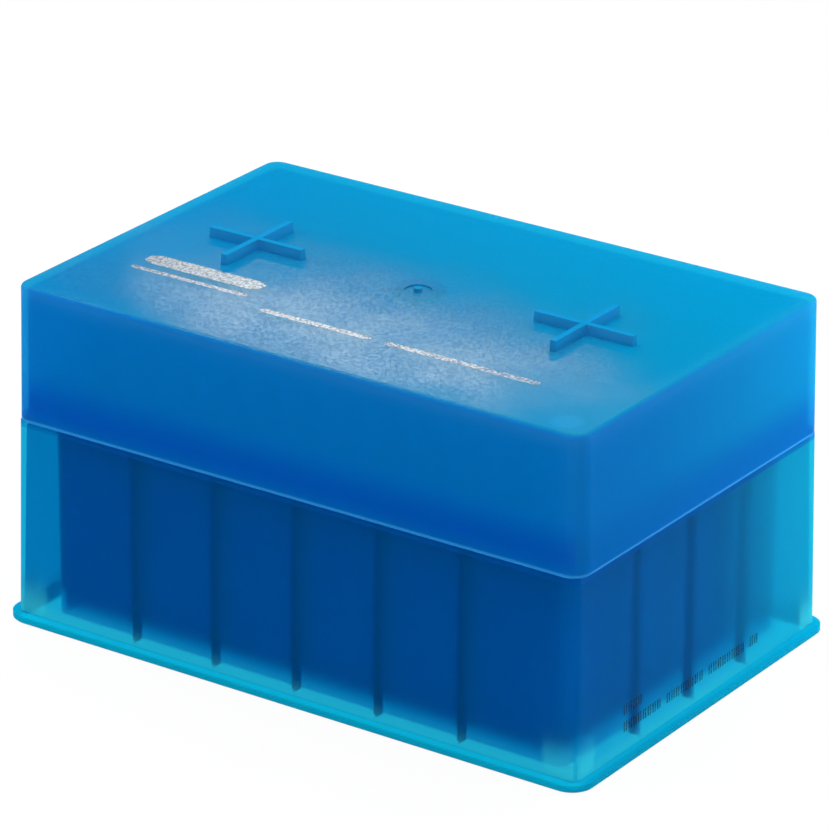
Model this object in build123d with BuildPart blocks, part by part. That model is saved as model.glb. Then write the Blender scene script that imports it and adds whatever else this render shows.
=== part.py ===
from build123d import *

import os
from math import atan, degrees, radians, tan

# A box of filter pipette tips: an open-bottomed rack, the tips that hang in it and a lift-off lid.
# Millimetres, +Z up, the long side along X. The origin is the middle of the underside.

# Tip grid, 12 columns of 8, on the pitch that multichannel pipettes use
tip_pitch = 9.0
column_count = 12
row_count = 8

# Rack: a drafted outer skirt on a flange, stepped in to a collar that the lid slips over
foot_length = 127.76
foot_width = 85.48
flange_thickness = 1.4
flange_radius = 4.6
flange_overhang = 1.85
flange_break = 0.3
rack_wall = 1.1
rack_draft = 1.3
skirt_radius = 1.8
collar_height = 6.6
collar_lead = 0.6
deck_thickness = 1.6
hole_clearance = 0.3

# Inner skirt that screens the tips, short of the bench
screen_wall = 1.2
screen_side_gap = 0.45
screen_end_gap = 2.45
screen_lift = 0.8
screen_radius = 1.5

# Stiffening ribs inside the outer skirt
rib_thickness = 1.1
rib_depth = 1.6
rib_bite = 1.0
long_side_ribs = 5
short_side_ribs = 3
rib_pitch = 2 * tip_pitch

# Lid: a drafted cover whose rim seats on the rack's shoulder
lid_headroom = 6.2
lid_wall = 1.4
lid_draft = 1.05
lid_overhang = 0.65
lid_radius = 3.5
lid_edge = 0.8
lid_clearance = 0.3
rim_break = 0.3

# Stacking crosses and the gate mark on the lid
cross_spacing = 72.0
cross_span = 21.0
cross_thickness = 1.4
cross_height = 2.0
cross_draft = 3.0
gate_radius = 2.6
gate_depth = 0.35
gate_nub_radius = 0.8
gate_nub_height = 0.45

# Tip: a hub that rests on the deck over a long tapered body, with one taper for its bore
flat_count = 6
tip_length = 51.0
tip_lift = 8.0
hub_height = 12.5
hub_swell = 0.3
hub_seat = 0.45
hub_wall = 0.9
body_top_radius = 2.55
body_end_radius = 0.5
bore_end_radius = 0.22

# Filter: a porous plug just under where the pipette's nose stops
filter_depth = 13.0
filter_length = 4.0
filter_clearance = 0.03

# Sizes that follow from those above: the tips set the holes, and their length sets the heights
field_length = (column_count - 1) * tip_pitch
field_width = (row_count - 1) * tip_pitch
hole_radius = body_top_radius + hole_clearance
hub_foot_radius = hole_radius + hub_seat
hub_top_radius = hub_foot_radius + hub_swell
bore_top_radius = hub_top_radius - hub_wall
deck_height = tip_lift + tip_length - hub_height
shoulder_height = deck_height - collar_height
hub_top = deck_height + hub_height
lid_height = collar_height + hub_height + lid_headroom + lid_wall
skirt_length = foot_length - 2 * flange_overhang
skirt_width = foot_width - 2 * flange_overhang
skirt_height = shoulder_height - flange_thickness
skirt_lean = skirt_height * tan(radians(rack_draft))
shoulder_length = skirt_length - 2 * skirt_lean
shoulder_width = skirt_width - 2 * skirt_lean
lid_length = shoulder_length + 2 * lid_overhang
lid_width = shoulder_width + 2 * lid_overhang
collar_inset = lid_wall + lid_clearance
collar_length = lid_length - 2 * collar_inset
collar_width = lid_width - 2 * collar_inset
collar_radius = lid_radius - collar_inset
ceiling_height = shoulder_height - rack_wall
deck_underside = deck_height - deck_thickness
screen_margin = hole_radius + screen_wall
screen_length = field_length + 2 * (screen_margin + screen_end_gap)
screen_width = field_width + 2 * (screen_margin + screen_side_gap)
lid_top = shoulder_height + lid_height
bore_slope = (bore_top_radius - bore_end_radius) / tip_length
flat_turn = 180 / flat_count

os.makedirs("parts", exist_ok=True)

with BuildPart() as rack:
    with BuildSketch():
        RectangleRounded(foot_length, foot_width, flange_radius)
    extrude(amount=flange_thickness)
    chamfer(rack.faces().sort_by(Axis.Z)[0].edges(), length=flange_break)
    with BuildSketch(Plane.XY.offset(flange_thickness)):
        RectangleRounded(skirt_length, skirt_width, skirt_radius)
    extrude(amount=skirt_height, taper=rack_draft)
    with BuildSketch(Plane.XY.offset(shoulder_height)):
        RectangleRounded(collar_length, collar_width, collar_radius)
    extrude(amount=deck_height - shoulder_height)
    chamfer(rack.faces().sort_by(Axis.Z)[-1].edges(), length=collar_lead)

    # The hollow under the shoulder leans with the skirt; the one under the deck is upright
    with BuildSketch(Plane.XY.offset(flange_thickness)):
        Rectangle(skirt_length - 2 * rack_wall, skirt_width - 2 * rack_wall)
    extrude(amount=ceiling_height - flange_thickness, taper=rack_draft, mode=Mode.SUBTRACT)
    with BuildSketch():
        Rectangle(skirt_length - 2 * rack_wall, skirt_width - 2 * rack_wall)
    extrude(amount=flange_thickness, mode=Mode.SUBTRACT)
    with BuildSketch(Plane.XY.offset(ceiling_height)):
        Rectangle(collar_length - 2 * rack_wall, collar_width - 2 * rack_wall)
    extrude(amount=deck_underside - ceiling_height, mode=Mode.SUBTRACT)

    # Inner skirt round the tip field, hung from the deck
    with BuildSketch(Plane.XY.offset(screen_lift)):
        RectangleRounded(screen_length, screen_width, screen_radius)
        Rectangle(screen_length - 2 * screen_wall, screen_width - 2 * screen_wall, mode=Mode.SUBTRACT)
    extrude(amount=deck_underside - screen_lift)

    # Ribs stand on the flange, and their outer ends are sunk in the leaning wall
    with BuildSketch(Plane.XY.offset(flange_thickness)):
        rib_reach = rib_depth + rib_bite
        rib_inset = rack_wall - rib_bite + rib_reach / 2
        with GridLocations(rib_pitch, shoulder_width - 2 * rib_inset, long_side_ribs, 2):
            Rectangle(rib_thickness, rib_reach)
        with GridLocations(shoulder_length - 2 * rib_inset, rib_pitch, 2, short_side_ribs):
            Rectangle(rib_reach, rib_thickness)
    extrude(amount=ceiling_height - flange_thickness)

    # One hole for each tip, with the same flats
    with BuildSketch(Plane.XY.offset(deck_height)):
        with GridLocations(tip_pitch, tip_pitch, column_count, row_count):
            RegularPolygon(hole_radius, flat_count, major_radius=False, rotation=flat_turn)
    extrude(amount=-deck_thickness, mode=Mode.SUBTRACT)

rack.part.label = "rack"
export_step(rack.part, "parts/rack.step")

with BuildPart() as lid:
    with BuildSketch(Plane.XY.offset(shoulder_height)):
        RectangleRounded(lid_length, lid_width, lid_radius)
    extrude(amount=lid_height, taper=lid_draft)
    fillet(lid.faces().sort_by(Axis.Z)[-1].edges(), radius=lid_edge)
    with BuildSketch(Plane.XY.offset(shoulder_height)):
        RectangleRounded(lid_length - 2 * lid_wall, lid_width - 2 * lid_wall, lid_radius - lid_wall)
    extrude(amount=lid_height - lid_wall, taper=lid_draft, mode=Mode.SUBTRACT)
    rim_edges = lid.faces().sort_by(Axis.Z)[0].outer_wire().edges()
    chamfer(rim_edges, length=rim_break)

    # A cross at each end of the top, for the box above to stand between
    with BuildSketch(Plane.XY.offset(lid_top)):
        with GridLocations(cross_spacing, 0, 2, 1):
            Rectangle(cross_span, cross_thickness)
    extrude(amount=cross_height, taper=cross_draft)
    with BuildSketch(Plane.XY.offset(lid_top)):
        with GridLocations(cross_spacing, 0, 2, 1):
            Rectangle(cross_thickness, cross_span)
    extrude(amount=cross_height, taper=cross_draft)

    # Gate mark: a round dimple with the stub of the sprue in it
    with BuildSketch(Plane.XY.offset(lid_top)):
        Circle(gate_radius)
        Circle(gate_nub_radius, mode=Mode.SUBTRACT)
    extrude(amount=-gate_depth, mode=Mode.SUBTRACT)
    with BuildSketch(Plane.XY.offset(lid_top)):
        Circle(gate_nub_radius)
    extrude(amount=gate_nub_height)

lid.part.label = "lid"
export_step(lid.part, "parts/lid.step")

# Every tip and filter has six flats; each is drawn once here and placed by the columns below
hub_flare = degrees(atan((hub_top_radius - hub_foot_radius) / hub_height))
body_taper = degrees(atan((body_top_radius - body_end_radius) / (tip_length - hub_height)))
bore_taper = degrees(atan(bore_slope))
filter_top = hub_top - filter_depth
filter_top_radius = bore_top_radius - filter_depth * bore_slope - filter_clearance

with BuildPart() as bore:
    with BuildSketch(Plane.XY.offset(hub_top)):
        RegularPolygon(bore_top_radius, flat_count, major_radius=False, rotation=flat_turn)
    extrude(amount=-tip_length)
    draft(bore.faces().filter_by(Axis.Z, reverse=True), Plane.XY.offset(hub_top), -bore_taper)

with BuildPart() as body:
    with BuildSketch(Plane.XY.offset(deck_height)):
        RegularPolygon(body_top_radius, flat_count, major_radius=False, rotation=flat_turn)
    extrude(amount=hub_height - tip_length)
    draft(body.faces().filter_by(Axis.Z, reverse=True), Plane.XY.offset(deck_height), -body_taper)

with BuildPart() as tip:
    with BuildSketch(Plane.XY.offset(deck_height)):
        RegularPolygon(hub_foot_radius, flat_count, major_radius=False, rotation=flat_turn)
    extrude(amount=hub_height)
    draft(tip.faces().filter_by(Axis.Z, reverse=True), Plane.XY.offset(deck_height), -hub_flare)
    add(body.part)
    add(bore.part, mode=Mode.SUBTRACT)

with BuildPart() as plug:
    with BuildSketch(Plane.XY.offset(filter_top)):
        RegularPolygon(filter_top_radius, flat_count, major_radius=False, rotation=flat_turn)
    extrude(amount=-filter_length)
    draft(plug.faces().filter_by(Axis.Z, reverse=True), Plane.XY.offset(filter_top), -bore_taper)

# A column of tips is what an eight-channel pipette picks up
for column in range(column_count):
    column_x = column * tip_pitch - field_length / 2
    column_name = f"{column + 1:02d}"

    with BuildPart(Plane((column_x, 0, 0))) as tips:
        with GridLocations(tip_pitch, tip_pitch, 1, row_count):
            add(tip.part)

    tips.part.label = f"tip_column_{column_name}"
    export_step(tips.part, f"parts/tip_column_{column_name}.step")

    with BuildPart(Plane((column_x, 0, 0))) as filters:
        with GridLocations(tip_pitch, tip_pitch, 1, row_count):
            add(plug.part)

    filters.part.label = f"filter_column_{column_name}"
    export_step(filters.part, f"parts/filter_column_{column_name}.step")
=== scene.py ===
import math

import bpy
from mathutils import Matrix, Vector


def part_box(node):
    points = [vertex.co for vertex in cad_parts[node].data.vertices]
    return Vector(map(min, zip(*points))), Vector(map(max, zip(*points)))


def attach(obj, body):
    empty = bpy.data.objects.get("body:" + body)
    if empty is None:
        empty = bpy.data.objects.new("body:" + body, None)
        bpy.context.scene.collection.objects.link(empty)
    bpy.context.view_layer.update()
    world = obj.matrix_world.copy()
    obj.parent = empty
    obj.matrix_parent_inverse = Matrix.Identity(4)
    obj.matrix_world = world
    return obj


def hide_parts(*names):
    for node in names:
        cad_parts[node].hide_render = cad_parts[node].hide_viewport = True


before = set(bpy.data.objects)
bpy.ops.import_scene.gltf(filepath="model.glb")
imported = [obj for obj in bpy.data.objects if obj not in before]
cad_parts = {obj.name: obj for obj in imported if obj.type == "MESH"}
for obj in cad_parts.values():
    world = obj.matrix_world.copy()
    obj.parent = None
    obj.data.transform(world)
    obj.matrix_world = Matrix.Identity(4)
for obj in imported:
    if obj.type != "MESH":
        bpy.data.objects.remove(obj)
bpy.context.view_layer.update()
print("frame loaded")


# Shader arithmetic: a Field is one output of a node tree, and an expression of fields lays down its nodes


class Field:
    def __init__(self, tree, socket):
        self.tree = tree
        self.socket = socket

    def math(self, operation, *others):
        return addNode(self.tree, "ShaderNodeMath", [self, *others], operation=operation)

    def __add__(self, other):
        return self.math("ADD", other)

    def __sub__(self, other):
        return self.math("SUBTRACT", other)

    def __mul__(self, other):
        return self.math("MULTIPLY", other)

    def __truediv__(self, other):
        return self.math("DIVIDE", other)

    def __pow__(self, other):
        return self.math("POWER", other)

    def __rsub__(self, other):
        return addNode(self.tree, "ShaderNodeMath", [other, self], operation="SUBTRACT")

    def __rtruediv__(self, other):
        return addNode(self.tree, "ShaderNodeMath", [other, self], operation="DIVIDE")

    __radd__ = __add__
    __rmul__ = __mul__

    def __abs__(self):
        return self.math("ABSOLUTE")

    def clamp(self):
        return addNode(self.tree, "ShaderNodeClamp", [self])

    def least(self, other):
        return self.math("MINIMUM", other)

    def most(self, other):
        return self.math("MAXIMUM", other)

    def step(self, start, end):
        # smooth rise from 0 at start to 1 at end
        return addNode(self.tree, "ShaderNodeMapRange", [self, start, end], interpolation_type="SMOOTHSTEP")

    def fall(self, start, end):
        return 1 - self.step(start, end)

    def spread(self, low, high):
        # low where this field is 0 and high where it is 1, for plain numbers
        return self * (high - low) + low

    def between(self, first, second):
        # the same for fields
        return (1 - self) * first + self * second


def addNode(tree, kind, inputs=(), out=0, **settings):
    # inputs is a list by position or a dictionary by name; a value may be a Field, a number or a tuple
    node = tree.nodes.new(kind)
    for name, value in settings.items():
        setattr(node, name, value)
    pairs = inputs.items() if isinstance(inputs, dict) else enumerate(inputs)
    for key, value in pairs:
        if isinstance(value, Field):
            tree.links.new(value.socket, node.inputs[key])
        else:
            node.inputs[key].default_value = value
    return Field(tree, node.outputs[out])


class Paint:
    # one material being built, with the fields that most finishes start from
    def __init__(self, name):
        self.material = bpy.data.materials.new(name)
        self.material.use_nodes = True
        self.tree = self.material.node_tree
        self.tree.nodes.clear()
        self.output = self.tree.nodes.new("ShaderNodeOutputMaterial")
        self.place = self.add("ShaderNodeTexCoord", out="Object")
        self.x, self.y, self.z = (self.axis(name) for name in "XYZ")

    def add(self, kind, inputs=(), out=0, **settings):
        return addNode(self.tree, kind, inputs, out, **settings)

    def axis(self, name):
        return self.add("ShaderNodeSeparateXYZ", [self.place], out=name)

    def stretch(self, scale):
        return self.add("ShaderNodeMapping", {"Vector": self.place, "Scale": scale})

    def noise(self, scale, detail, roughness, vector=None):
        values = {"Vector": vector or self.place, "Scale": scale, "Detail": detail, "Roughness": roughness}
        return self.add("ShaderNodeTexNoise", values, out="Fac")

    def cells(self, scale):
        return self.add("ShaderNodeTexVoronoi", {"Vector": self.place, "Scale": scale}, out="Distance")

    def blend(self, factor, first, second):
        return self.add("ShaderNodeMix", {0: factor, 6: first, 7: second}, out=2, data_type="RGBA")

    def bump(self, height, distance):
        return self.add("ShaderNodeBump", {"Strength": 1.0, "Distance": distance, "Height": height})

    def reach(self, center=(0, 0)):
        # distance on plan from a vertical line
        across, along = self.x - center[0], self.y - center[1]
        return (across * across + along * along) ** 0.5

    def turn(self):
        # angle about the vertical axis
        return self.y.math("ARCTAN2", self.x)

    def rayIs(self, kind):
        return self.add("ShaderNodeLightPath", out=f"Is {kind} Ray")

    def principled(self, values):
        return self.add("ShaderNodeBsdfPrincipled", values)

    def mixShader(self, factor, first, second):
        return self.add("ShaderNodeMixShader", {0: factor, 1: first, 2: second})

    def finish(self, shader):
        self.tree.links.new(shader.socket, self.output.inputs["Surface"])
        return self.material


def rgb(red, green, blue):
    return (red, green, blue, 1.0)


def shifted(start, offsets):
    return [start + offset for offset in offsets]


# Meshes


def makePiece(name, points, faces, material, body, smooth=True):
    mesh = bpy.data.meshes.new(name)
    mesh.from_pydata(points, [], faces)
    mesh.update()
    if smooth:
        mesh.polygons.foreach_set("use_smooth", [True] * len(mesh.polygons))
    mesh.materials.append(material)
    piece = bpy.data.objects.new(name, mesh)
    bpy.context.scene.collection.objects.link(piece)
    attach(piece, body)
    return piece


def ringFaces(rows, count, start, closed=True):
    # quads from each ring of points to the next, and where closed from the last back to the first
    faces = []
    for row in range(rows if closed else rows - 1):
        here = start + row * count
        there = start + (row + 1) % rows * count
        for k in range(count):
            after = (k + 1) % count
            faces.append((here + k, here + after, there + after, there + k))
    return faces


def lathe(profile, count, center, points, faces, swell=None):
    # a closed profile of (radius, height) turned about a vertical line, with what swell adds to a radius
    start = len(points)
    for row, (radius, height) in enumerate(profile):
        for k in range(count):
            angle = 2 * math.pi * k / count
            reach = radius + (swell(row, angle) if swell else 0)
            points.append((center[0] + reach * math.cos(angle), center[1] + reach * math.sin(angle), height))
    faces += ringFaces(len(profile), count, start)


# Camera


camera = {
    "azimuth": 34.3864,
    "elevation": 23.0521,
    "roll": 0.3658,
    "aimHeight": 0.038,
    "aimRight": -0.0005896,
    "aimUp": 0.0037712,
    "distance": 0.99562,
    "lens": 236.174,
    "sensorWidth": 36,
    "clip": (0.05, 20),
}


def placeCamera(values):
    azimuth, elevation, roll = (math.radians(values[name]) for name in ("azimuth", "elevation", "roll"))
    level = math.cos(elevation)
    back = Vector((math.sin(azimuth) * level, -math.cos(azimuth) * level, math.sin(elevation)))
    right = Vector((math.cos(azimuth), math.sin(azimuth), 0))
    up = back.cross(right)
    target = Vector((0, 0, values["aimHeight"])) + right * values["aimRight"] + up * values["aimUp"]
    turnedRight = right * math.cos(roll) + up * math.sin(roll)
    turnedUp = up * math.cos(roll) - right * math.sin(roll)
    data = bpy.data.cameras.new("camera")
    data.lens = values["lens"]
    data.sensor_width = values["sensorWidth"]
    data.clip_start, data.clip_end = values["clip"]
    shot = bpy.data.objects.new("camera", data)
    bpy.context.scene.collection.objects.link(shot)
    matrix = Matrix((turnedRight, turnedUp, back)).transposed().to_4x4()
    matrix.translation = target + back * values["distance"]
    shot.matrix_world = matrix
    bpy.context.scene.camera = shot


placeCamera(camera)
bpy.context.scene.view_settings.view_transform = "Standard"
print("camera placed")


# Tinted polypropylene of the rack and the lid: clear walls with their tint and a milky haze at the skins


tintedPlastic = {
    "absorb": (2700.0, 430.0, 185.0),  # per metre of wall, for red, green and blue
    "sheenTint": (0.02, 0.45, 0.85),
    "through": (0.90, 0.95, 1.0),
    "ior": 1.05,
    "grainDepth": 0.00002,
    "mottle": 0.08,
}


def makeTintedPlastic(paint, values, finish, haze, hazeShare, grain, coat=None):
    # haze is the colour of the milky skin, with the light and shade that the lid and rack paint into it, and
    # hazeShare is how much of the clear wall it hides
    rough = (grain - 0.5) * values["mottle"] + finish["roughness"]
    normal = paint.bump(grain, values["grainDepth"])
    shared = {
        "Roughness": rough,
        "IOR": values["ior"],
        "Specular Tint": rgb(*values["sheenTint"]),
        "Normal": normal,
    }
    shared |= coat or {}
    # what one wall lets through, where thick is the mean slanting way through it
    tint = rgb(*[math.exp(-amount * finish["thick"]) for amount in values["absorb"]])
    clear = paint.principled(shared | {"Base Color": tint, "Transmission Weight": 1.0})
    milky = paint.principled(shared | {"Base Color": haze})
    blurred = paint.add("ShaderNodeBsdfTranslucent", {"Color": rgb(*values["through"]), "Normal": normal})
    wall = paint.mixShader(finish["blurShare"], clear, blurred)
    return paint.finish(paint.mixShader(hazeShare, wall, milky))


def wearPlastic(node, material):
    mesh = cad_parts[node].data
    mesh.materials.clear()
    mesh.materials.append(material)


lidFinish = {
    "thick": 0.0023,
    "roughness": 0.5,
    "blurShare": 0.22,
    "crossHeight": 0.002,
    # long sides, and the short sides from their near edge to their far one, with painted shade where the
    # rack's collar stands behind them, a painted glow just above the rim, and painted light toward the far
    # edge of the short sides
    "side": (0.0, 0.33, 0.98),
    "sideShade": (0.0, 0.20, 0.95),
    "sideLowGlow": (0.0, 0.28, 1.0),
    "sideShare": 0.45,
    "end": (0.0, 0.31, 0.92),
    "endLit": (0.0, 0.45, 0.90),
    "endShade": (0.0, 0.28, 0.88),
    "endReach": (0.060, 0.0606),
    "darkHeight": 0.0035,
    "fadeHeight": 0.012,
    # painted highlight along the lid's rim
    "rim": (0.03, 0.36, 0.95),
    "rimShare": 0.8,
    "rimHeight": (0.0006, 0.00096),
    # top, from one corner to the opposite one, with its crosses and its gate
    "top": (0.0, 0.38, 0.70),
    # painted light toward the far corner
    "topLit": (0.0, 0.49, 0.77),
    "topShare": 0.45,
    "topBorder": (-0.0004, -0.00005),
    "farSpan": (-1.6, 1.6),
    # painted light: the crosses are painted paler, lifting their shaded sides
    "cross": (0.0, 0.44, 0.86),
    "crossBorder": (0.0001, 0.0003),
    "gate": (0.0, 0.36, 0.70),
    "gateReach": (0.005, 0.0055),
    "gateHeight": (0.01, 0.02),
    # pale disc that an ejector pin left
    "spot": (0.02, 0.56, 0.95),
    "spotPlace": (0.0553, -0.0355),
    "spotReach": (0.0024, 0.0033),
    "spotShare": 0.6,
    # satin: a noise is its scale, detail and roughness
    "specks": (1550, 1, 0.7),
    "speckSpan": (0.40, 0.60),
    "speckGloss": (0.55, 1.25),
    # painted shade in the dull specks, strongest over the polished patch
    "speckShade": (0.0, 0.02, 0.08),
    "speckDepth": 0.32,
    "speckLeast": 0.2,
    "patches": (110, 0, 0.6),
    "patchSpan": (0.3, 0.7),
    "patchGloss": (0.8, 1.1),
    "streaks": (3.0, 0, 0.6),
    "streakStretch": (5, 90),
    "streakSpan": (0.35, 0.65),
    "streakReach": (0.003, 0.018),
    "streakDepth": 0.5,
    # polished patch of the top, glossiest where the sheen strip reflects, with its painted sheen colour
    "paintedSheen": (0.07, 0.43, 0.74),
    "paintedSheenShare": 0.5,
    "gloss": 0.52,
    "glossRoughness": 0.17,
    "glossPlace": (-0.004, -0.021),
    "glossReach": (0.070, 0.036),
    "glossBorder": (0.35, 1.15),
    "glossLeast": 0.08,
    "ragged": (45, 0, 0.65),
    "raggedDepth": 0.9,
}


def makeLidPlastic(values):
    paint = Paint("lidPlastic")
    low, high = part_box("lid")
    top = high.z - values["crossHeight"]
    inGate = paint.reach().fall(*values["gateReach"]) * paint.z.step(*shifted(low.z, values["gateHeight"]))
    onTop = paint.z.step(*shifted(top, values["topBorder"])).most(inGate)
    onCross = paint.z.step(*shifted(top, values["crossBorder"]))
    flat = onTop * (1 - onCross)
    # sides: painted shade, darkest where the rack's collar stands behind them, and a painted glow just above
    # the rim
    dark = low.z + values["darkHeight"]
    atEnd = abs(paint.x).step(*values["endReach"])
    farther = paint.y.step(low.y, high.y)
    # painted light on the short sides, paler toward their far edge
    litEnd = paint.blend(farther, rgb(*values["end"]), rgb(*values["endLit"]))
    litSide = paint.blend(atEnd, rgb(*values["side"]), litEnd)
    shaded = paint.blend(atEnd, rgb(*values["sideShade"]), rgb(*values["endShade"]))
    side = paint.blend(paint.z.step(dark, low.z + values["fadeHeight"]), shaded, litSide)
    side = paint.blend(paint.z.fall(low.z, dark), side, rgb(*values["sideLowGlow"]))
    # top: painted light, paler toward the corner that faces the right softbox
    far = (paint.x / high.x + paint.y / high.y).step(*values["farSpan"])
    skin = paint.blend(far, rgb(*values["top"]), rgb(*values["topLit"]))
    spot = paint.reach(values["spotPlace"]).fall(*values["spotReach"]) * values["spotShare"]
    skin = paint.blend(spot, skin, rgb(*values["spot"]))
    skin = paint.blend(inGate, skin, rgb(*values["gate"]))
    # painted light: the crosses painted paler, lifting their shaded sides
    skin = paint.blend(onCross, skin, rgb(*values["cross"]))
    # painted highlight: a paler line along the rim
    rim = paint.z.fall(*shifted(low.z, values["rimHeight"]))
    haze = paint.blend(rim, paint.blend(onTop, side, skin), rgb(*values["rim"]))
    share = onTop.spread(values["sideShare"], values["topShare"]).most(rim * values["rimShare"])
    # satin: fine specks, with streaks where the plastic flowed away from its gate
    grain = paint.noise(*values["specks"])
    specks = grain.step(*values["speckSpan"])
    patches = paint.noise(*values["patches"]).step(*values["patchSpan"])
    around, outward = values["streakStretch"]
    flow = paint.add("ShaderNodeCombineXYZ", [paint.turn() * around, paint.reach() * outward, 0])
    streaks = paint.noise(*values["streaks"], flow).step(*values["streakSpan"])
    streaks = streaks * paint.reach().fall(*values["streakReach"])
    satin = specks.spread(*values["speckGloss"]) * patches.spread(*values["patchGloss"])
    satin = satin * (1 - streaks * values["streakDepth"])
    # the skin is best polished over the front half, with a ragged border
    middle, reach = values["glossPlace"], values["glossReach"]
    across, along = (paint.x - middle[0]) / reach[0], (paint.y - middle[1]) / reach[1]
    ragged = (paint.noise(*values["ragged"]) - 0.5) * values["raggedDepth"]
    border = (across * across + along * along) ** 0.5 + ragged
    polish = border.fall(*values["glossBorder"]).spread(values["glossLeast"], 1)
    gloss = flat * satin * polish * values["gloss"]
    # painted sheen: the polished patch is painted paler and greyer
    haze = paint.blend(flat * polish * polish * values["paintedSheenShare"], haze, rgb(*values["paintedSheen"]))
    # painted shade: the dull specks are painted darker, most over the polished patch, to carry the sheen's
    # speckle
    dim = (1 - specks) * polish.spread(values["speckLeast"], 1) * flat * values["speckDepth"]
    haze = paint.blend(dim, haze, rgb(*values["speckShade"]))
    coat = {"Coat Weight": gloss, "Coat Roughness": values["glossRoughness"]}
    return makeTintedPlastic(paint, tintedPlastic, values, haze, share, grain, coat)


rackFinish = {
    "thick": 0.0018,
    "roughness": 0.38,
    "blurShare": 0.03,
    "grain": (2600, 0, 0.6),
    "draft": 0.0227,
    # depths in from the outer skirt's face
    "outsideDepth": (0.0002, 0.0006),
    "innerDepth": (0.0013, 0.0017),
    "blockDepth": (0.0038, 0.0042),
    # outer wall, with painted light that makes it paler at the far corner, which faces the right softbox
    "wall": (0.0, 0.38, 0.85),
    "wallShare": 0.12,
    "wallLit": (0.0, 0.68, 0.95),
    "wallLitShare": 0.25,
    "endReach": (0.0548, 0.055),
    # painted glow at the foot and at the corners
    "glow": (0.06, 0.86, 1.0),
    "glowShare": 0.40,
    "glowHeight": 0.0062,
    "glowFar": 0.7,
    "cornerShare": 0.6,
    "cornerHeight": 0.013,
    "cornerReach": (0.0538, 0.0338),
    "cornerBorder": (-0.0005, 0.002),
    # shoulder that the lid rests on, painted dark as shade under the lid's rim
    "shoulder": (0.0, 0.19, 0.68),
    "shoulderShare": 0.4,
    "shoulderHeight": 0.0399,
    "shoulderBand": (-0.0014, -0.0012),
    # flange round the foot, with painted shade along its bottom edge and at its ends
    "flange": (0.0, 0.64, 0.92),
    "flangeShare": 0.6,
    "flangeHeight": 0.0014,
    "flangeBorder": (0.0, 0.0004),
    "flangeOverhang": 0.00185,
    "flangeDepth": (-0.0003, 0.0),
    "flangeEdgeShade": (0.0, 0.34, 0.62),
    "edgeHeight": (0.0002, 0.0005),
    "edgeReach": (0.058, 0.0625),
    "edgeShare": 0.5,
    # ribs, painted dark as shade seen through the wall
    "ribs": (0.0, 0.15, 0.66),
    "ribShare": 0.92,
    "ribDepth": (0.0021, 0.0025),
    # inner skirt, painted as a dark block of shade behind the wall, with painted light toward the far side
    # of the ends
    "blockShade": (0.0, 0.22, 0.86),
    "blockShare": 0.84,
    "blockEnd": (0.0, 0.34, 0.95),
    "blockEndLit": (0.0, 0.66, 1.0),
    "blockReach": (0.056, 0.036),
    "blockCorner": (-0.0005, 0.0035),
    "nearReach": 0.01,
    "footFade": (0.0007, 0.0058),
    "endFootFade": (0.0008, 0.0115),
    "endThin": 0.2,
}


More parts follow.
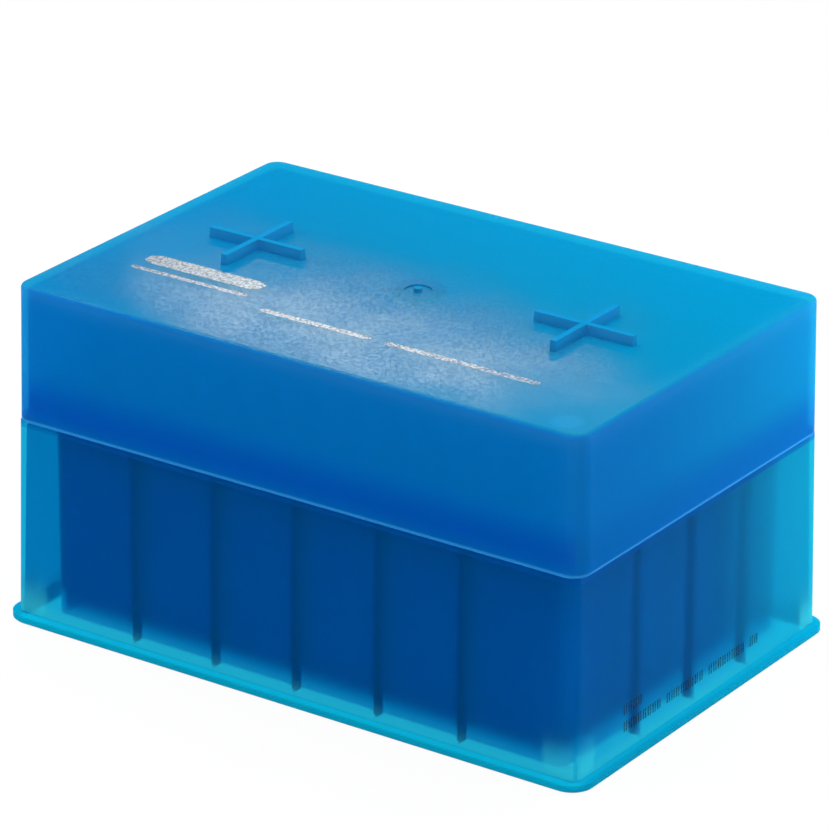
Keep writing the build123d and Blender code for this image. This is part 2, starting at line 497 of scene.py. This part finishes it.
def makeRackPlastic(values):
    # ribs, collar and inner skirt are told from the outer skirt by their depth in from its leaning face
    paint = Paint("rackPlastic")
    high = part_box("rack")[1]
    flangeTop = values["flangeHeight"]
    reachX, reachY = high.x - values["flangeOverhang"], high.y - values["flangeOverhang"]
    lean = (paint.z - flangeTop) * values["draft"]
    depth = (reachX - abs(paint.x)).least(reachY - abs(paint.y)) - lean
    inner = depth.step(*values["innerDepth"])
    blockShade = depth.step(*values["blockDepth"])
    outside = depth.fall(*values["outsideDepth"])
    foot = paint.z.fall(*shifted(flangeTop, values["flangeBorder"]))
    flange = depth.fall(*values["flangeDepth"]).most(foot * outside)
    shoulder = paint.z.step(*shifted(values["shoulderHeight"], values["shoulderBand"]))
    # the inner skirt's painted shade is thickest in the middle of each side and thins to nothing at its foot
    # and corners, save at the corner nearest to the camera
    blockX, blockY = values["blockReach"]
    fromCorner = (blockX - abs(paint.x)).most(blockY - abs(paint.y))
    end = abs(paint.x).step(*values["endReach"])
    farther = paint.y.step(-blockY, blockY)
    rise = end.between(paint.z.step(*values["footFade"]), paint.z.step(*values["endFootFade"]))
    near = paint.x.step(0, values["nearReach"]) * paint.y.fall(-values["nearReach"], 0)
    edge = fromCorner.step(*values["blockCorner"]).most(near)
    thick = edge * rise * (1 - end * farther * values["endThin"])
    # painted light toward the far side of the inner skirt's ends
    endShading = paint.blend(farther, rgb(*values["blockEnd"]), rgb(*values["blockEndLit"]))
    skirtShade = paint.blend(end, rgb(*values["blockShade"]), endShading)
    # painted shade on the ribs and collar, and on the inner skirt behind them
    inside = paint.blend(blockShade, rgb(*values["ribs"]), skirtShade)
    ribShare = depth.step(*values["ribDepth"]) * values["ribShare"]
    insideShare = blockShade.between(ribShare, thick * values["blockShare"])
    # painted light: the outer wall is painted glowing at its foot, where light comes up through it, and at
    # its corners, and paler toward the far corner
    far = end * paint.y.step(0, blockY)
    cornerX, cornerY = values["cornerReach"]
    corner = (abs(paint.x) - cornerX).least(abs(paint.y) - cornerY).step(*values["cornerBorder"])
    corner = paint.z.fall(flangeTop, values["cornerHeight"]) * outside * corner
    glow = paint.z.fall(flangeTop, values["glowHeight"]) * outside * (1 - far * values["glowFar"])
    skin = paint.blend(far, rgb(*values["wall"]), rgb(*values["wallLit"]))
    skin = paint.blend(glow.most(corner), skin, rgb(*values["glow"]))
    # painted shade under the lid's rim
    skin = paint.blend(shoulder, skin, rgb(*values["shoulder"]))
    # painted shade along the flange's bottom edge and at its ends
    outermost = abs(paint.x).step(*values["edgeReach"]) * values["edgeShare"]
    edgeShading = paint.z.fall(*values["edgeHeight"]).most(outermost)
    rim = paint.blend(edgeShading, rgb(*values["flange"]), rgb(*values["flangeEdgeShade"]))
    skin = paint.blend(flange, skin, rim)
    wallShare = glow.between(far.spread(values["wallShare"], values["wallLitShare"]), values["glowShare"])
    wallShare = wallShare.most(corner * values["cornerShare"])
    skinShare = (shoulder * values["shoulderShare"]).most(flange * values["flangeShare"]).most(wallShare)
    haze = paint.blend(inner, skin, inside)
    share = inner.between(skinShare, insideShare)
    return makeTintedPlastic(paint, tintedPlastic, values, haze, share, paint.noise(*values["grain"]))


lidPlastic = makeLidPlastic(lidFinish)
rackPlastic = makeRackPlastic(rackFinish)
wearPlastic("lid", lidPlastic)
wearPlastic("rack", rackPlastic)
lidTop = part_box("lid")[1].z - lidFinish["crossHeight"]
print("tinted plastic made")


# Tips, in columns of eight


tipShape = {
    "segments": 48,
    "flutes": 12,
    "fluteDepth": 0.00012,
    "flutedRings": (4, 5),  # by their place in the outline
    "hubTop": 0.0036,
    "hubFoot": 0.0033,
    "hubHeight": 0.0125,
    "lip": 0.00025,
    "hubRings": ((0.0, 0.0012), (0.00018, 0.0014)),  # how far in, and how far below the top
    "footRings": ((0.0001, 0.0006), (0.0001, 0.0002), (0.0003, 0.0)),  # how far in, and how far up
    "bodyTop": 0.00255,
    "bodyEnd": 0.0005,
    "bodyFillet": (0.00005, 0.0002),
    "bodyRings": ((0.0, 0.030), (0.00004, 0.0195), (-0.00004, 0.019)),  # how far out of the cone, and height
    "endBevel": (0.00008, 0.0001),
    "boreTop": 0.0027,
    "boreEnd": 0.00022,
    "boreRings": (0.020, 0.0415, 0.0460),
    "boreMouth": ((-0.0001, 0.001), (0.0001, 0.0001)),  # how far out of the cone, and how far below the top
}

tipFinish = {
    "tint": (0.90, 0.94, 0.97),
    "roughness": (0.22, 0.34),
    "ior": 1.49,
    "transmission": 0.75,
    "flow": (1.0, 1, 0.5),
    "flowStretch": (900, 900, 60),
    "flowDepth": 0.00001,
}

tipsInColumn = 8


def makeTipPlastic(values):
    paint = Paint("tipPlastic")
    flow = paint.noise(*values["flow"], paint.stretch(values["flowStretch"]))
    clear = {
        "Base Color": rgb(*values["tint"]),
        "Roughness": flow.spread(*values["roughness"]),
        "IOR": values["ior"],
        "Transmission Weight": values["transmission"],
        "Normal": paint.bump(flow, values["flowDepth"]),
    }
    return paint.finish(paint.principled(clear))


def columnCenters(low, high, radius):
    # the solids in a column are six-sided, with corners along the column and radius the reach of their flats
    middle = (low.x + high.x) / 2
    half = (high.y - low.y) / 2 - radius / math.cos(math.pi / 6)
    return [(middle, -half + 2 * half * row / (tipsInColumn - 1)) for row in range(tipsInColumn)]


def makeTipColumn(name, material, values):
    low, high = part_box(name)
    top, foot, end = high.z, high.z - values["hubHeight"], low.z
    lip = values["lip"]
    slope = (values["boreTop"] - values["boreEnd"]) / (top - end)

    def bodyRadius(z):
        return values["bodyEnd"] + (values["bodyTop"] - values["bodyEnd"]) * (z - end) / (foot - end)

    def boreRadius(z):
        return values["boreEnd"] + slope * (z - end)

    def swell(ring, angle):
        if ring not in values["flutedRings"]:
            return 0
        return values["fluteDepth"] * max(0, math.cos(angle * values["flutes"])) ** 2

    filletOut, filletDrop = values["bodyFillet"]
    bevelIn, bevelRise = values["endBevel"]
    outline = [
        (boreRadius(top) + lip * 0.6, top),
        (values["hubTop"] - lip * 0.3, top - lip * 0.2),
        (values["hubTop"], top - lip),
    ]
    outline += [(values["hubTop"] - inward, top - drop) for inward, drop in values["hubRings"]]
    outline += [(values["hubFoot"] - inward, foot + rise) for inward, rise in values["footRings"]]
    outline += [(bodyRadius(foot) + filletOut, foot), (bodyRadius(foot), foot - filletDrop)]
    outline += [(bodyRadius(height) + outward, height) for outward, height in values["bodyRings"]]
    outline += [(bodyRadius(end), end + bevelRise), (bodyRadius(end) - bevelIn, end)]
    # and back up the bore
    outline += [(boreRadius(height), height) for height in (end, *values["boreRings"])]
    outline += [(boreRadius(top) + outward, top - drop) for outward, drop in values["boreMouth"]]
    points, faces = [], []
    for center in columnCenters(low, high, values["hubTop"]):
        lathe(outline, values["segments"], center, points, faces, swell)
    piece = makePiece("visual_" + name, points, faces, material, "rack")
    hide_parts(name)


tipPlastic = makeTipPlastic(tipFinish)
tipNodes = sorted(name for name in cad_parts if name.startswith("tip_column"))
for name in tipNodes:
    makeTipColumn(name, tipPlastic, tipShape)
print("tips made")


# Filter plugs, in columns of eight


filterShape = {"segments": 32, "edge": 0.00025, "slope": 0.0486, "core": 0.0001}

filterFinish = {
    "tint": (0.82, 0.82, 0.80),
    "roughness": 0.9,
    "ior": 1.45,
    "grains": 4200,
    "grainDepth": 0.00008,
    "poreSpan": (0.1, 0.6),
    "poreShare": 0.5,
    "poreShade": 0.6,
}


def makeFilterPlastic(values):
    paint = Paint("filterPlastic")
    grains = paint.cells(values["grains"])
    pores = grains.fall(*values["poreSpan"]) * values["poreShare"]
    shade = [share * values["poreShade"] for share in values["tint"]]
    sintered = {
        "Base Color": paint.blend(pores, rgb(*values["tint"]), rgb(*shade)),
        "Roughness": values["roughness"],
        "IOR": values["ior"],
        "Normal": paint.bump(grains, values["grainDepth"]),
    }
    return paint.finish(paint.principled(sintered))


def makeFilterColumn(name, material, values):
    low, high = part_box(name)
    topRadius = (high.x - low.x) / 2
    footRadius = topRadius - (high.z - low.z) * values["slope"]
    core, edge = values["core"], values["edge"]
    # both ends are a little hollow
    outline = [
        (core, high.z - edge * 0.3),
        (topRadius * 0.7, high.z - edge * 0.2),
        (topRadius - edge, high.z),
        (topRadius, high.z - edge),
        (footRadius, low.z + edge),
        (footRadius - edge, low.z),
        (core, low.z + edge * 0.3),
    ]
    points, faces = [], []
    for center in columnCenters(low, high, topRadius):
        lathe(outline, values["segments"], center, points, faces)
    piece = makePiece("visual_" + name, points, faces, material, "rack")
    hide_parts(name)


filterPlastic = makeFilterPlastic(filterFinish)
filterNodes = sorted(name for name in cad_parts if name.startswith("filter_column"))
for name in filterNodes:
    makeFilterColumn(name, filterPlastic, filterShape)
print("filters made")


# Stamped foil on the lid and ink on the rack, as plain bars and dashes


ripples = ((2900, 1.0, 0.5), (7100, 3.1, 0.3), (17300, 7.7, 0.2))  # radians per metre and per seed, height


def wave(position, seed):
    # a repeatable ragged line between -1 and 1
    return sum(math.sin(position * pitch + seed * shift) * height for pitch, shift, height in ripples)


foilPrint = {
    # middle, length and width of each bar
    "bars": (
        ((-0.0365, -0.0155), 0.026, 0.0042),
        ((-0.0365, -0.0205), 0.026, 0.0012),
        ((-0.0055, -0.0243), 0.024, 0.0016),
        ((0.0260, -0.0243), 0.033, 0.0016),
    ),
    "rise": 0.00004,
    "sink": 0.00001,
    "bevel": (0.6, 0.03),  # share of the rise where it starts, and share of the half width
    "wobble": 0.00008,
    "endWidth": 0.55,
    "stepLength": 0.0006,
}

foilFinish = {
    "tint": (0.66, 0.78, 0.96),
    "shade": 0.45,
    "roughness": (0.25, 0.55),
    "crinkle": (1500, 2, 0.6),
    "crinkleSpan": (0.35, 0.6),
    "crinkleDepth": 0.00003,
    # flecks where the foil did not take, more of them toward the worn end
    "flecks": (2600, 2, 0.7),
    "blotches": (350, 2, 0.6),
    "blotchShare": 0.5,
    "coverSpan": (0.87, 0.93),
    "wornReach": (-0.01, 0.045),
    "wear": 0.14,
}


def makeFoilSurface(values):
    paint = Paint("stampedFoil")
    crinkle = paint.noise(*values["crinkle"])
    flecks = paint.noise(*values["flecks"]) + paint.noise(*values["blotches"]) * values["blotchShare"]
    worn = paint.x.step(*values["wornReach"]) * values["wear"]
    shade = [share * values["shade"] for share in values["tint"]]
    foil = {
        "Base Color": paint.blend(crinkle.step(*values["crinkleSpan"]), rgb(*shade), rgb(*values["tint"])),
        "Metallic": 1.0,
        "Roughness": crinkle.spread(*values["roughness"]),
        "Alpha": (flecks + worn).fall(*values["coverSpan"]),
        "Normal": paint.bump(crinkle, values["crinkleDepth"]),
    }
    return paint.finish(paint.principled(foil))


def makeFoilBars(values, material):
    bevelStart, bevelInset = values["bevel"]
    levels = (
        (lidTop - values["sink"], 0.0),
        (lidTop + values["rise"] * bevelStart, 0.0),
        (lidTop + values["rise"], bevelInset),
    )
    points, faces = [], []
    for seed, (center, length, width) in enumerate(values["bars"]):
        steps = max(6, round(length / values["stepLength"]))
        edges = []
        for side in (-1, 1):
            for k in range(steps + 1):
                along = (k if side < 0 else steps - k) / steps
                ragged = wave(along * length, seed * 5 + side) * values["wobble"]
                rounding = min(1.0, values["endWidth"] + min(along, 1 - along) * length / width)
                x = center[0] + (along - 0.5) * length
                edges.append((x, center[1] + side * (width / 2 * rounding + ragged)))
        count, start = len(edges), len(points)
        for z, inset in levels:
            points += [(x, y + (center[1] - y) * inset, z) for x, y in edges]
        faces += ringFaces(len(levels), count, start, closed=False)
        # top and underside, in quads across the bar
        top = start + (len(levels) - 1) * count
        for k in range(steps):
            faces.append((top + k, top + k + 1, top + count - 2 - k, top + count - 1 - k))
            faces.append((start + count - 1 - k, start + count - 2 - k, start + k + 1, start + k))
    makePiece("visual_foil_bars", points, faces, material, "lid", smooth=False)


inkPrint = {
    "rows": ((-0.0255, 0.0095, 4), (-0.0255, 0.0062, 29)),  # start, height of the middle and count of cells
    "cell": 0.00158,
    "group": 9,  # the last cell of each group stays blank
    "tall": 0.0019,
    "wobble": 0.06,
    "waveSteps": (0.013, 0.0047),
    "tick": 0.000336,
    "tickPitch": 0.000714,
    "lift": 0.00002,
}

inkFinish = {
    "tint": (0.006, 0.012, 0.035),
    "sheen": 0.1,
    "roughness": (0.5, 0.7),
    "dots": 3600,
    "dotSpan": (0.25, 0.65),
    "dotShare": 0.55,
    "bleed": (900, 3, 0.6),
    "bleedShare": 0.75,
}


def makeInk(values):
    paint = Paint("jetInk")
    dots = paint.cells(values["dots"]).fall(*values["dotSpan"])
    bleed = paint.noise(*values["bleed"])
    ink = {
        "Base Color": rgb(*values["tint"]),
        "Specular IOR Level": values["sheen"],
        "Roughness": bleed.spread(*values["roughness"]),
        "Alpha": (dots * values["dotShare"] + bleed * values["bleedShare"]).clamp(),
    }
    return paint.finish(paint.principled(ink))


def makeInkDashes(values, material):
    # rows of upright ticks, two to a cell, that follow the lean of the rack's end
    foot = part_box("rack")[1].x - rackFinish["flangeOverhang"]
    cellStep, tickStep = values["waveSteps"]
    boxFaces = ((4, 5, 7, 6), (1, 0, 2, 3), (0, 1, 5, 4), (2, 6, 7, 3), (0, 4, 6, 2), (1, 3, 7, 5))
    points, faces = [], []
    for startY, middleZ, cells in values["rows"]:
        for cell in range(cells):
            if cell % values["group"] == values["group"] - 1:
                continue
            for tick in range(2):
                tall = values["tall"] * (1 + values["wobble"] * wave(cell * cellStep + tick * tickStep, 1.0))
                y = startY + cell * values["cell"] + tick * values["tickPitch"]
                corners = []
                for z in (middleZ - tall / 2, middleZ + tall / 2):
                    x = foot - (z - rackFinish["flangeHeight"]) * rackFinish["draft"]
                    corners += [(x, y, z), (x, y + values["tick"], z)]
                start = len(points)
                points += [(x - values["lift"], y, z) for x, y, z in corners]
                points += [(x + values["lift"], y, z) for x, y, z in corners]
                faces += [tuple(start + corner for corner in face) for face in boxFaces]
    makePiece("visual_ink_dashes", points, faces, material, "rack", smooth=False)


makeFoilBars(foilPrint, makeFoilSurface(foilFinish))
makeInkDashes(inkPrint, makeInk(inkFinish))
print("print made")


# Floor, world and lamps


studio = {
    "worldStrength": 0.06,
    "floorSize": 6.0,
    "floorDrop": 0.0002,
    "floorWhite": 0.9,
    "floorGlow": 0.94,
    "floorShade": 0.06,
}

overhead = {
    "place": (0, 0, 0.8),
    "aim": (0, 0, 0),
    "along": (1, 0, 0),
    "size": (1.5, 1.5),
    "power": 11.8,
    "color": (1, 1, 1),
}
rightSoftbox = {
    "place": (0.12, 0.13, 0.08),
    "aim": (0, 0, 0.04),
    "along": (0, 0, 1),
    "size": (0.15, 0.15),
    "power": 0.18,
    "color": (1, 1, 1),
}
leftSoftbox = {
    "place": (-0.36, -0.05, 0.16),
    "aim": (0, 0, 0.04),
    "along": (0, 0, 1),
    "size": (0.30, 0.30),
    "power": 0.5,
    "color": (1, 1, 1),
}
sheenStrip = {
    "place": (-0.088, 0.122, 0.142),
    "aim": (0.005, -0.01, lidTop),
    "along": (1, 0, 0),
    "size": (0.12, 0.014),
    "power": 0.027,
    "color": (1.0, 0.92, 0.70),
}


def makeFloor(values):
    # white with its shadow to the camera, in mirrors and through plastic, and white paint to diffuse light
    paint = Paint("floorWhite")
    white, shade = values["floorWhite"], values["floorShade"]
    plain = paint.add("ShaderNodeBsdfDiffuse", {"Color": rgb(white, white, white)})
    shaded = paint.add("ShaderNodeBsdfDiffuse", {"Color": rgb(shade, shade, shade)})
    glow = paint.add("ShaderNodeEmission", {"Color": rgb(1, 1, 1), "Strength": values["floorGlow"]})
    lit = paint.add("ShaderNodeAddShader", [shaded, glow])
    seen = paint.rayIs("Camera").most(paint.rayIs("Glossy")).most(paint.rayIs("Transmission"))
    material = paint.finish(paint.mixShader(seen, plain, lit))
    material.cycles.emission_sampling = "NONE"
    half = values["floorSize"] / 2
    corners = [(-half, -half, 0), (half, -half, 0), (half, half, 0), (-half, half, 0)]
    mesh = bpy.data.meshes.new("floor")
    mesh.from_pydata(corners, [], [(0, 1, 2, 3)])
    mesh.materials.append(material)
    floor = bpy.data.objects.new("floor", mesh)
    floor.location.z = -values["floorDrop"]
    bpy.context.scene.collection.objects.link(floor)


def makeWorld(values):
    world = bpy.data.worlds.new("studio")
    world.use_nodes = True
    background = world.node_tree.nodes["Background"]
    background.inputs["Color"].default_value = rgb(1, 1, 1)
    background.inputs["Strength"].default_value = values["worldStrength"]
    bpy.context.scene.world = world


def makeLamp(name, values):
    # the lamp's first size lies as near to the direction along as its aim allows
    data = bpy.data.lights.new(name, "AREA")
    data.shape = "ELLIPSE"
    data.size, data.size_y = values["size"]
    data.energy = values["power"]
    data.color = values["color"]
    lamp = bpy.data.objects.new(name, data)
    place, along = Vector(values["place"]), Vector(values["along"])
    back = (place - Vector(values["aim"])).normalized()
    side = (along - back * back.dot(along)).normalized()
    matrix = Matrix((side, back.cross(side), back)).transposed().to_4x4()
    matrix.translation = place
    lamp.matrix_world = matrix
    lamp.visible_camera = False
    bpy.context.scene.collection.objects.link(lamp)


makeFloor(studio)
makeWorld(studio)
makeLamp("overhead", overhead)
makeLamp("rightSoftbox", rightSoftbox)
makeLamp("leftSoftbox", leftSoftbox)
makeLamp("sheenStrip", sheenStrip)
print("studio made")

# enough bounces for light to cross three walls
cycles = bpy.context.scene.cycles
cycles.max_bounces = 6
cycles.transmission_bounces = 6
cycles.glossy_bounces = 2
cycles.diffuse_bounces = 2
